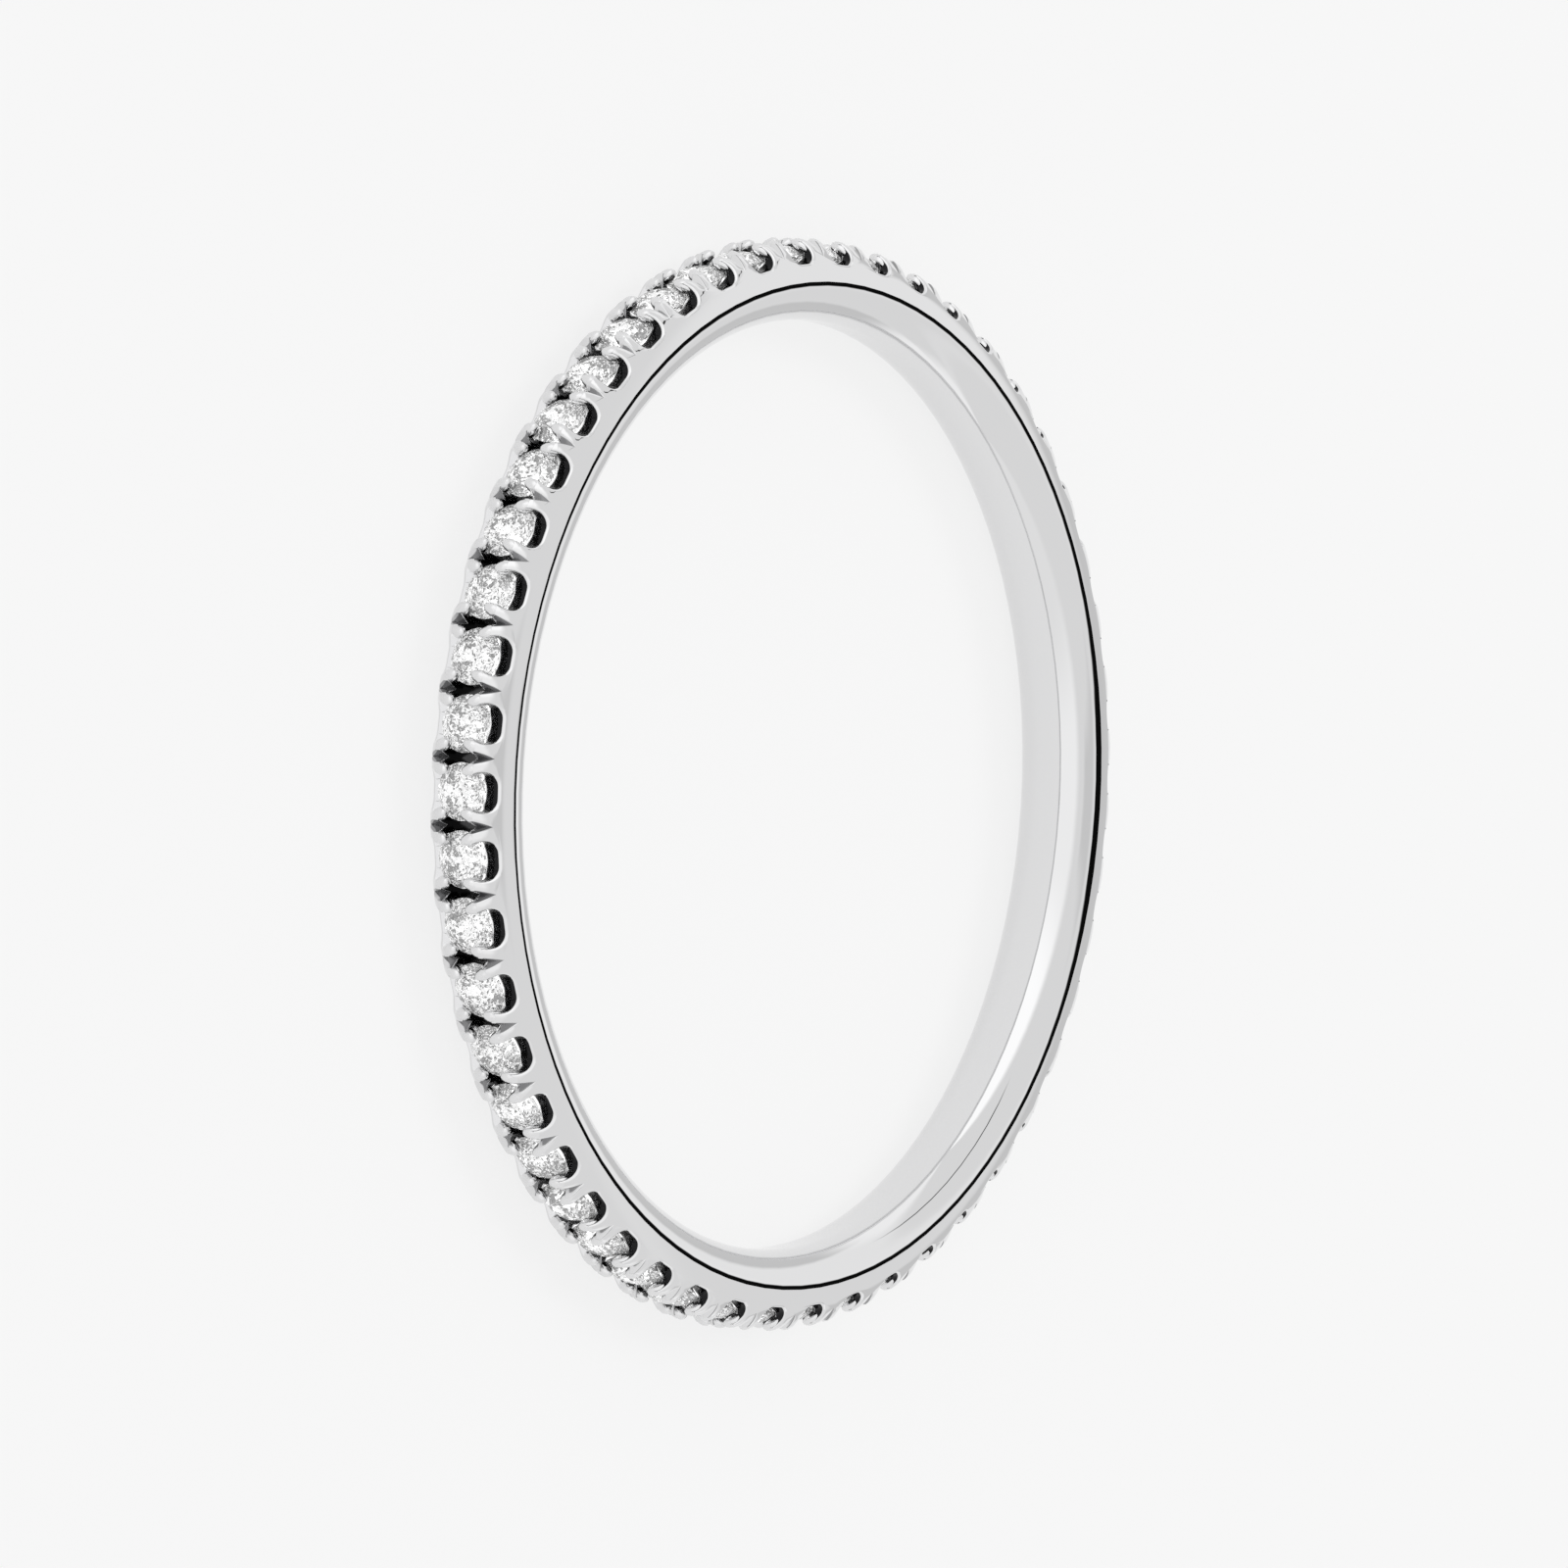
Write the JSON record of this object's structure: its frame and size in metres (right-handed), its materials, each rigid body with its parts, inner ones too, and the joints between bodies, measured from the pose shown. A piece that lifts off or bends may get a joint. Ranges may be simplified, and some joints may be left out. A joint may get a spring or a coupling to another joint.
{
  "type": "eternity ring",
  "caption": "Narrow full eternity ring: a polished band with scalloped sides and split prongs that holds a closed row of round brilliant stones.",
  "frame": {"origin": "centre of the lower side face that the ring rests on, on the finger axis", "axes": "+Z along the finger axis, up as the ring lies on its side; +X through the first stone"},
  "size_m": [0.0194, 0.0194, 0.0016],
  "materials": {
    "white_metal": "mirror polished white metal",
    "clear_stone": "clear faceted gem"
  },
  "bodies": {
    "root": {"band": "white_metal", "stones": "clear_stone"}
  },
  "joints": []
}
